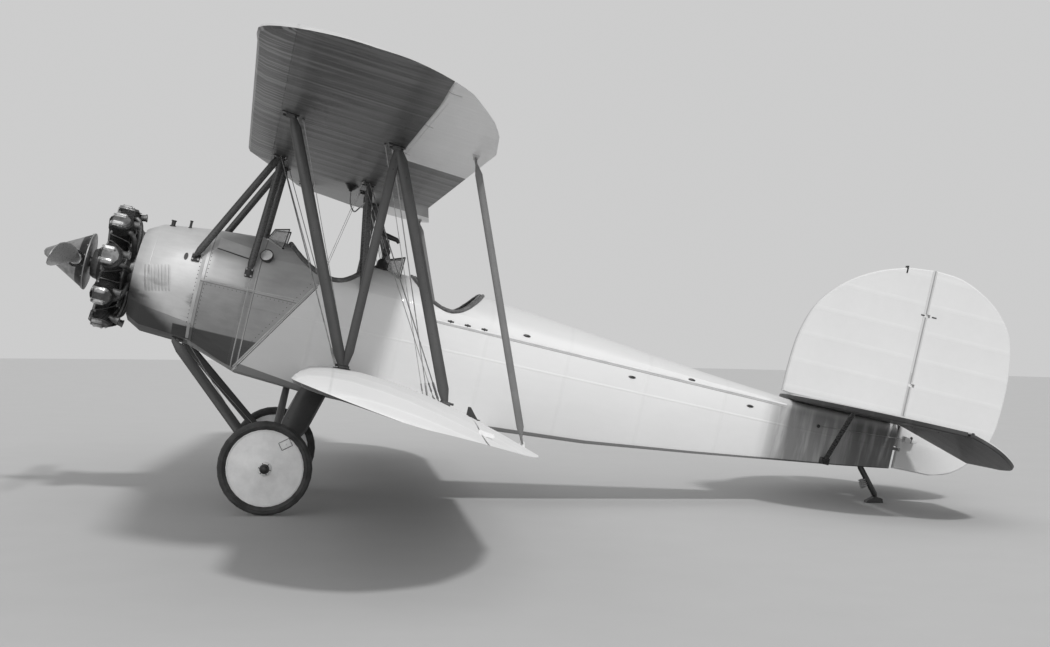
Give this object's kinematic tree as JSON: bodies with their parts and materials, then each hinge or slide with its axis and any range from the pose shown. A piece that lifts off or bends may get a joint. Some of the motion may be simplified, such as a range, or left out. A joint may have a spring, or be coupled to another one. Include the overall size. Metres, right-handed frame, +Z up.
{
  "type": "biplane",
  "caption": "Biplane with open cockpits, an uncowled radial engine, spinner, strut and wire braced wings, disc wheels and a tail skid.",
  "frame": {"origin": "middle of the bounding box, at floor level", "axes": "+Z up, nose towards -X, port side towards -Y, +Y to starboard"},
  "size_m": [8.7079, 10.92, 3.243],
  "materials": {
    "painted_sheet": "painted sheet, satin",
    "cream_fabric": "doped fabric, satin",
    "panel": "matt",
    "seat": "worn",
    "pane": "clear",
    "engine_metal": "blackened",
    "bare_metal": "burnished",
    "dark_fabric": "doped fabric, gloss",
    "grey_paint": "painted tube, satin",
    "wire": "drawn",
    "dark_paint": "painted tube, gloss",
    "tyre": "matt",
    "disc": "painted, satin"
  },
  "bodies": {
    "airframe": {"nose_cowl": "painted_sheet", "fuselage_nose": "painted_sheet", "fuselage_front": "painted_sheet", "fuselage_rear": "cream_fabric", "front_panel": "panel", "rear_panel": "panel", "front_seat": "seat", "rear_seat": "seat", "front_windshield": "pane", "rear_windshield": "pane", "engine": "engine_metal", "upper_wing_left": "dark_fabric", "lower_wing_left": "cream_fabric", "upper_wing_right": "dark_fabric", "lower_wing_right": "cream_fabric", "interplane_struts_left": "grey_paint", "landing_wire_front_left": "wire", "landing_wire_rear_left": "wire", "flying_wire_front_left": "wire", "flying_wire_rear_left": "wire", "interplane_struts_right": "grey_paint", "landing_wire_front_right": "wire", "landing_wire_rear_right": "wire", "flying_wire_front_right": "wire", "flying_wire_rear_right": "wire", "cabane_front_left": "dark_paint", "cabane_rear_left": "dark_paint", "cabane_front_right": "dark_paint", "cabane_rear_right": "dark_paint", "fin": "cream_fabric", "tailplane": "cream_fabric", "tail_brace_left": "dark_paint", "tail_brace_right": "dark_paint", "gear_strut_left": "dark_paint", "shock_leg_left": "dark_paint", "axle_left": "dark_paint", "gear_strut_right": "dark_paint", "shock_leg_right": "dark_paint", "axle_right": "dark_paint", "tail_skid": "dark_paint"},
    "propeller": {"spinner": "bare_metal", "propeller": "bare_metal"},
    "wheel_left": {"tyre_left": "tyre", "wheel_disc_left": "disc"},
    "wheel_right": {"tyre_right": "tyre", "wheel_disc_right": "disc"},
    "rudder": {"rudder": "cream_fabric"},
    "elevators": {"elevators": "cream_fabric"},
    "upper_aileron_left": {"upper_aileron_left": "dark_fabric"},
    "lower_aileron_left": {"lower_aileron_left": "cream_fabric"},
    "upper_aileron_right": {"upper_aileron_right": "dark_fabric"},
    "lower_aileron_right": {"lower_aileron_right": "cream_fabric"},
    "aileron_strut_left": {"aileron_strut_left": "grey_paint"},
    "aileron_strut_right": {"aileron_strut_right": "grey_paint"}
  },
  "joints": [
    {"name": "propeller_spin", "type": "hinge", "parent": "airframe", "child": "propeller", "pos_m": [-4.06475, 0, 2.07168], "axis": [0.977, 0, -0.213], "continuous": true},
    {"name": "wheel_left_spin", "type": "hinge", "parent": "airframe", "child": "wheel_left", "pos_m": [-2.413, -1.005, 0.381], "axis": [0, 1, 0], "continuous": true},
    {"name": "wheel_right_spin", "type": "hinge", "parent": "airframe", "child": "wheel_right", "pos_m": [-2.413, 1.005, 0.381], "axis": [0, 1, 0], "continuous": true},
    {"name": "rudder_swing", "type": "hinge", "parent": "airframe", "child": "rudder", "pos_m": [3.42394, 0, 1.15533], "axis": [0.213, 0, 0.977], "range_deg": [-25, 25]},
    {"name": "elevator_swing", "type": "hinge", "parent": "airframe", "child": "elevators", "pos_m": [3.25701, 0, 0.7465], "axis": [0, 1, 0], "range_deg": [-48, 0]},
    {"name": "upper_aileron_left_swing", "type": "hinge", "parent": "airframe", "child": "upper_aileron_left", "pos_m": [-1.32487, -3.3, 2.87222], "axis": [0.0639, -0.9975, 0.0286], "range_deg": [-22, 22]},
    {"name": "lower_aileron_left_swing", "type": "hinge", "parent": "airframe", "child": "lower_aileron_left", "pos_m": [-0.99744, -3.3, 0.90235], "axis": [0.006, -0.9996, 0.0273], "range_deg": [-22, 22]},
    {"name": "aileron_strut_left_pivot", "type": "hinge", "parent": "upper_aileron_left", "child": "aileron_strut_left", "pos_m": [-0.96229, -3.28219, 2.68305], "axis": [0.0639, -0.9975, 0.0286], "range_deg": [-23, 23]},
    {"name": "upper_aileron_right_swing", "type": "hinge", "parent": "airframe", "child": "upper_aileron_right", "pos_m": [-1.32487, 3.3, 2.87222], "axis": [0.0639, 0.9975, 0.0286], "range_deg": [-22, 22]},
    {"name": "lower_aileron_right_swing", "type": "hinge", "parent": "airframe", "child": "lower_aileron_right", "pos_m": [-0.99744, 3.3, 0.90235], "axis": [0.006, 0.9996, 0.0273], "range_deg": [-22, 22]},
    {"name": "aileron_strut_right_pivot", "type": "hinge", "parent": "upper_aileron_right", "child": "aileron_strut_right", "pos_m": [-0.96229, 3.28219, 2.68305], "axis": [0.0639, 0.9975, 0.0286], "range_deg": [-23, 23]}
  ],
  "couplings": [
    {"joint": "upper_aileron_right_swing", "follows": "upper_aileron_left_swing", "ratio": 1},
    {"joint": "lower_aileron_left_swing", "follows": "upper_aileron_left_swing", "ratio": 0.905},
    {"joint": "lower_aileron_right_swing", "follows": "upper_aileron_left_swing", "ratio": 0.905},
    {"joint": "aileron_strut_left_pivot", "follows": "upper_aileron_left_swing", "ratio": -1.04},
    {"joint": "aileron_strut_right_pivot", "follows": "upper_aileron_left_swing", "ratio": -1.04}
  ]
}
